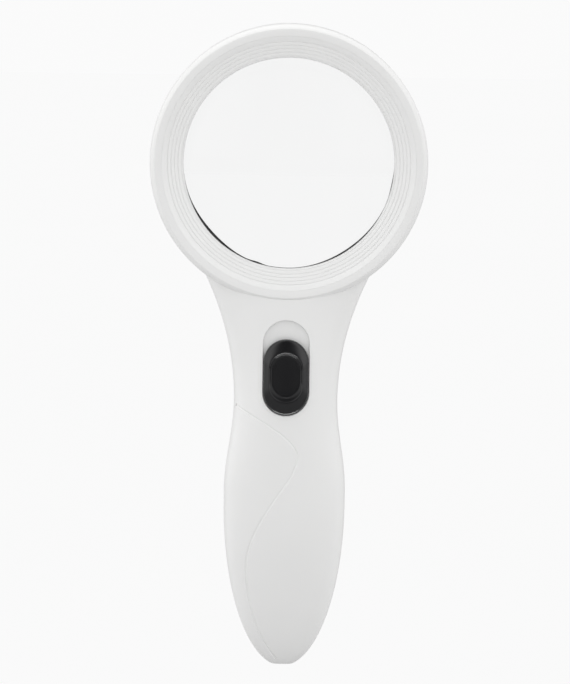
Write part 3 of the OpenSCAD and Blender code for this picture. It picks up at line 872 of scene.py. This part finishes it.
def drawn_finish(name, one, two, rough):
    """Bare or plated metal with the lines of its drawing or rolling."""
    finish, tree, shader = blank_finish(name)
    lines = placed(tree, "drawn_metal", Fineness=3000)
    colour_between(tree, shader, lines.outputs["Streak"], one, two)
    rough_between(tree, shader, lines.outputs["Streak"], *rough)
    raised(tree, shader, lines.outputs["Height"], 0.003)
    shader.inputs["Metallic"].default_value = 1
    return finish


def clear_acrylic():
    """The lens: clear, polished and bloomed against reflections, with the faintest smears in its gloss."""
    finish, tree, shader = blank_finish("clear_acrylic")
    marks = placed(tree, "handling", Size=45)
    colour_between(tree, shader, marks.outputs["Smear"], (0.955, 0.956, 0.956), (0.946, 0.948, 0.948))
    rough_between(tree, shader, marks.outputs["Smear"], 0.0, 0.012)
    shader.inputs["Specular Tint"].default_value = (0.12, 0.12, 0.12, 1)
    shader.inputs["Transmission Weight"].default_value = 1
    shader.inputs["IOR"].default_value = 1.49
    return finish


def frosted_acrylic():
    finish, tree, shader = blank_finish("frosted_acrylic")
    grain = placed(tree, "moulded_grain", Fineness=6000)
    colour_between(tree, shader, grain.outputs["Mottle"], (0.93, 0.95, 0.95), (0.98, 0.99, 0.99))
    rough_between(tree, shader, grain.outputs["Mottle"], 0.32, 0.5)
    raised(tree, shader, grain.outputs["Height"], 0.006)
    shader.inputs["Transmission Weight"].default_value = 0.7
    shader.inputs["IOR"].default_value = 1.49
    return finish


def diode_epoxy():
    """Water-clear resin with a warm phosphor tint."""
    finish, tree, shader = blank_finish("diode_epoxy")
    grain = placed(tree, "moulded_grain", Fineness=5000)
    colour_between(tree, shader, grain.outputs["Mottle"], (1.0, 0.93, 0.62), (0.98, 0.96, 0.78))
    rough_between(tree, shader, grain.outputs["Mottle"], 0.06, 0.14)
    shader.inputs["Transmission Weight"].default_value = 0.4
    return finish


effects = {"moulded_grain": moulded_grain(), "handling": handling(), "drawn_metal": drawn_metal()}

# Two colours that the mottle or the lines run between, and the range of the roughness.
plastics = {
    "shell_white": ((0.80, 0.80, 0.795), (0.83, 0.83, 0.825), (0.42, 0.36)),
    "bezel_white": ((0.83, 0.83, 0.825), (0.85, 0.85, 0.845), (0.36, 0.32), 5000, 0.002),
    "gasket_black": ((0.012, 0.012, 0.013), (0.022, 0.022, 0.022), (0.55, 0.7)),
    "board_green": ((0.01, 0.11, 0.04), (0.015, 0.16, 0.06), (0.3, 0.4), 9000),
    "lead_red": ((0.5, 0.01, 0.01), (0.6, 0.02, 0.015), (0.35, 0.45)),
    "slide_black": ((0.007, 0.007, 0.008), (0.010, 0.010, 0.011), (0.16, 0.22), 6000, 0.001),
    "inner_grey": ((0.42, 0.42, 0.43), (0.47, 0.47, 0.48), (0.45, 0.5)),
    "chip_black": ((0.02, 0.02, 0.02), (0.03, 0.03, 0.03), (0.5, 0.6), 9000),
    "cell_jacket": ((0.05, 0.055, 0.065), (0.08, 0.085, 0.095), (0.22, 0.3), 2500),
}
metals = {
    "switch_metal": ((0.62, 0.62, 0.63), (0.72, 0.72, 0.73), (0.25, 0.4)),
    "pin_brass": ((0.75, 0.52, 0.22), (0.85, 0.62, 0.3), (0.22, 0.35)),
    "cell_band": ((0.72, 0.4, 0.2), (0.8, 0.48, 0.26), (0.28, 0.36)),
    "contact_steel": ((0.68, 0.67, 0.64), (0.78, 0.77, 0.74), (0.18, 0.32)),
    "screw_steel": ((0.55, 0.55, 0.56), (0.68, 0.68, 0.69), (0.25, 0.4)),
}
finishes = {name: moulded_plastic(name, *values) for name, values in plastics.items()}
finishes.update({name: drawn_finish(name, *values) for name, values in metals.items()})
finishes["lens_clear"] = clear_acrylic()
finishes["window_frosted"] = frosted_acrylic()
finishes["led_epoxy"] = diode_epoxy()

# CAD nodes that are shown as they are, with the finish of each.
node_finish = {
    "led_board": "board_green", "leds": "led_epoxy",
    "slide_keeper": "inner_grey", "switch_lever": "slide_black",
    "switch_case": "switch_metal", "switch_pins": "pin_brass", "switch_board": "board_green",
    "resistors": "chip_black", "cell_tray": "inner_grey", "contact_tabs": "contact_steel",
    "contact_bridges": "contact_steel",
}
# Width of the broken edge, in millimetres, on the squared nodes.
broken_edge = {
    "slide_keeper": 0.15, "switch_lever": 0.1, "switch_case": 0.12, "switch_board": 0.06, "resistors": 0.08,
    "cell_tray": 0.25, "contact_tabs": 0.08, "contact_bridges": 0.08, "led_board": 0.06,
}


def paint_nodes():
    """Gives each CAD node that is shown its finish, and breaks the sharp edges of the squared ones."""
    for name, slot in node_finish.items():
        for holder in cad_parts[name].material_slots:
            holder.material = finishes[slot]
    for name, width in broken_edge.items():
        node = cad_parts[name]
        node.modifiers.new("seams", "WELD").merge_threshold = 0.002 * MM
        edge = node.modifiers.new("broken_edge", "BEVEL")
        edge.width = width * MM
        edge.segments = 2
        edge.limit_method = "ANGLE"
        edge.angle_limit = math.radians(40)
        edge.harden_normals = True


# ---- Room: floor, light and camera, in metres ----
floor_z = -0.34


def add_floor():
    """A wide pale floor well below the hand-held object."""
    half, count = 14.0, 8
    ticks = steps(-half, half, count)
    places = [(x, y, floor_z) for y in ticks for x in ticks]
    row = count + 1
    faces = [(j * row + i, j * row + i + 1, (j + 1) * row + i + 1, (j + 1) * row + i)
             for j in range(count) for i in range(count)]
    mesh = bpy.data.meshes.new("floor")
    mesh.from_pydata(places, [], faces)
    floor = bpy.data.objects.new("floor", mesh)
    bpy.context.scene.collection.objects.link(floor)
    finish, tree, shader = blank_finish("floor")
    grain = placed(tree, "moulded_grain", Fineness=200)
    colour_between(tree, shader, grain.outputs["Mottle"], (0.1, 0.1, 0.1), (0.104, 0.104, 0.104))
    shader.inputs["Roughness"].default_value = 0.9
    shader.inputs["Specular IOR Level"].default_value = 0
    shader.inputs["Emission Strength"].default_value = 1
    tree.links.new(floor_glow(tree), shader.inputs["Emission Color"])
    mesh.materials.append(finish)


def spread(tree, value, low, high, to_low, to_high):
    """A value carried smoothly from one range to another."""
    node = add(tree, "MapRange", clamp=True, interpolation_type="SMOOTHSTEP")
    for label, number in zip(("From Min", "From Max", "To Min", "To Max"), (low, high, to_low, to_high)):
        node.inputs[label].default_value = number
    tree.links.new(value, node.inputs["Value"])
    return node.outputs["Result"]


def choose(tree, share, one, two):
    """One value or the other by a share from 0 to 1. Each is a number or a socket."""
    node = add(tree, "Mix")
    tree.links.new(share, node.inputs["Factor"])
    for label, value in (("A", one), ("B", two)):
        if isinstance(value, (int, float)):
            node.inputs[label].default_value = value
        else:
            tree.links.new(value, node.inputs[label])
    return node.outputs["Result"]


def straight_seen(tree, path):
    """1 for what the eye sees, either directly or through the lens."""
    seen = add(tree, "Math", operation="MAXIMUM")
    tree.links.new(path.outputs["Is Camera Ray"], seen.inputs[0])
    tree.links.new(path.outputs["Is Transmission Ray"], seen.inputs[1])
    return seen.outputs["Value"]


def floor_glow(tree):
    """Paper white to the eye. As a light it is weaker close below, and in reflections it is dark in front."""
    place = add(tree, "TexCoord")
    axes = add(tree, "SeparateXYZ")
    tree.links.new(place.outputs["Object"], axes.inputs["Vector"])
    reach = add(tree, "VectorMath", operation="DISTANCE")
    reach.inputs[1].default_value = (0, 0, floor_z)
    tree.links.new(place.outputs["Object"], reach.inputs[0])
    path = add(tree, "LightPath")
    light = spread(tree, reach.outputs["Value"], 0.1, 0.7, 0.15, 0.81)
    in_front = spread(tree, axes.outputs["Y"], -0.6, -0.12, 0.3, 0.8)
    mirrored = choose(tree, spread(tree, axes.outputs["Y"], 0.4, 1.2, 0, 1), in_front, 0.2)
    unseen = choose(tree, path.outputs["Is Glossy Ray"], light, mirrored)
    return choose(tree, straight_seen(tree, path), unseen, 0.838)


def add_sky():
    """White light, weaker in front and behind. Reflections see a dark room in front between two lit walls."""
    world = bpy.data.worlds.new("studio")
    bpy.context.scene.world = world
    world.use_nodes = True
    tree = world.node_tree
    place = add(tree, "TexCoord")
    axes = add(tree, "SeparateXYZ")
    tree.links.new(place.outputs["Generated"], axes.inputs["Vector"])
    aside = add(tree, "Math", operation="ABSOLUTE")
    tree.links.new(axes.outputs["X"], aside.inputs[0])
    path = add(tree, "LightPath")
    walls = spread(tree, aside.outputs["Value"], 0.1, 0.35, 0.06, 1.5)
    behind = spread(tree, axes.outputs["Y"], 0.3, 0.7, 0.86, 0.2)
    mirrored = choose(tree, spread(tree, axes.outputs["Y"], -0.6, -0.3, 0, 1), walls, behind)
    ahead = spread(tree, axes.outputs["Y"], -0.9, 0.1, 0.96, 1.33)
    light = choose(tree, spread(tree, axes.outputs["Y"], 0.3, 0.8, 0, 1), ahead, 0.72)
    unseen = choose(tree, path.outputs["Is Glossy Ray"], light, mirrored)
    shown = choose(tree, straight_seen(tree, path), unseen, 0.96)
    sky = tree.nodes["Background"]
    tree.links.new(shown, sky.inputs["Color"])


def soft_light(name, place, aim, size, power, shine_on=None):
    """An oblong soft box, in metres and watts. With shine_on it only shows as a reflection in that piece."""
    lamp = bpy.data.lights.new(name, "AREA")
    lamp.shape = "RECTANGLE"
    lamp.size, lamp.size_y = size
    lamp.energy = power
    holder = bpy.data.objects.new(name, lamp)
    bpy.context.scene.collection.objects.link(holder)
    holder.location = place
    holder.rotation_mode = "QUATERNION"
    holder.rotation_quaternion = (Vector(aim) - Vector(place)).to_track_quat("-Z", "Y")
    if shine_on:
        holder.visible_diffuse = False
        lit = bpy.data.collections.new(name + "_lights")
        lit.objects.link(shine_on)
        holder.light_linking.receiver_collection = lit


def add_camera():
    """A long lens straight in front and a little above, rolled slightly."""
    lens_length, film, seen = 200, 36, 0.2354
    tilt, roll = math.radians(6.0), math.radians(0.82)
    aim = Vector((-0.00049, 0, 0.0558))
    camera = bpy.data.cameras.new("camera")
    camera.lens = lens_length
    camera.sensor_width = film
    camera.clip_start, camera.clip_end = 0.05, 100
    holder = bpy.data.objects.new("camera", camera)
    bpy.context.scene.collection.objects.link(holder)
    look = Vector((0, math.cos(tilt), -math.sin(tilt)))
    holder.location = aim - look * seen * lens_length / film
    holder.rotation_mode = "QUATERNION"
    holder.rotation_quaternion = look.to_track_quat("-Z", "Y") @ Quaternion((0, 0, 1), roll)
    bpy.context.scene.camera = holder


add_camera()
add_sky()
add_floor()
soft_light("top_box", (-0.1, 0.1, 0.9), (0, 0, 0.15), (0.6, 0.6), 0.7)
soft_light("left_box", (-0.9, 0.08, 0.25), (0, 0, 0.1), (0.6, 0.6), 0.5)
bpy.context.scene.view_settings.view_transform = "Standard"

front_shell()
back_shell()
battery_door()
front_bezel()
lens()
lens_gasket()
light_window()
slide = thumb_slide()
soft_light("low_strip", (0, -0.17, -0.22), (0, 0, 0.034), (0.4, 0.07), 1.6, shine_on=slide)
soft_light("high_strip", (0, 0.05, 0.85), (0, 0, 0.04), (0.5, 0.14), 1.8, shine_on=slide)
cell("cell_left", 1)
cell("cell_middle", -1)
cell("cell_right", 1)
contact_springs()
leads()
screws("casing_screws", "shell_screws", shell_screw_at, 5.4, 2.2, 1.5, 1, -4)
screws("switch_screws", "board_screws", board_screw_at, 2.2, 1.6, 1, 0.8, -4)
screws("tray_screw_pan", "tray_screw", [tray_screw_at], -0.6, 1.8, 1.1, 0.8, -5.8)
paint_nodes()
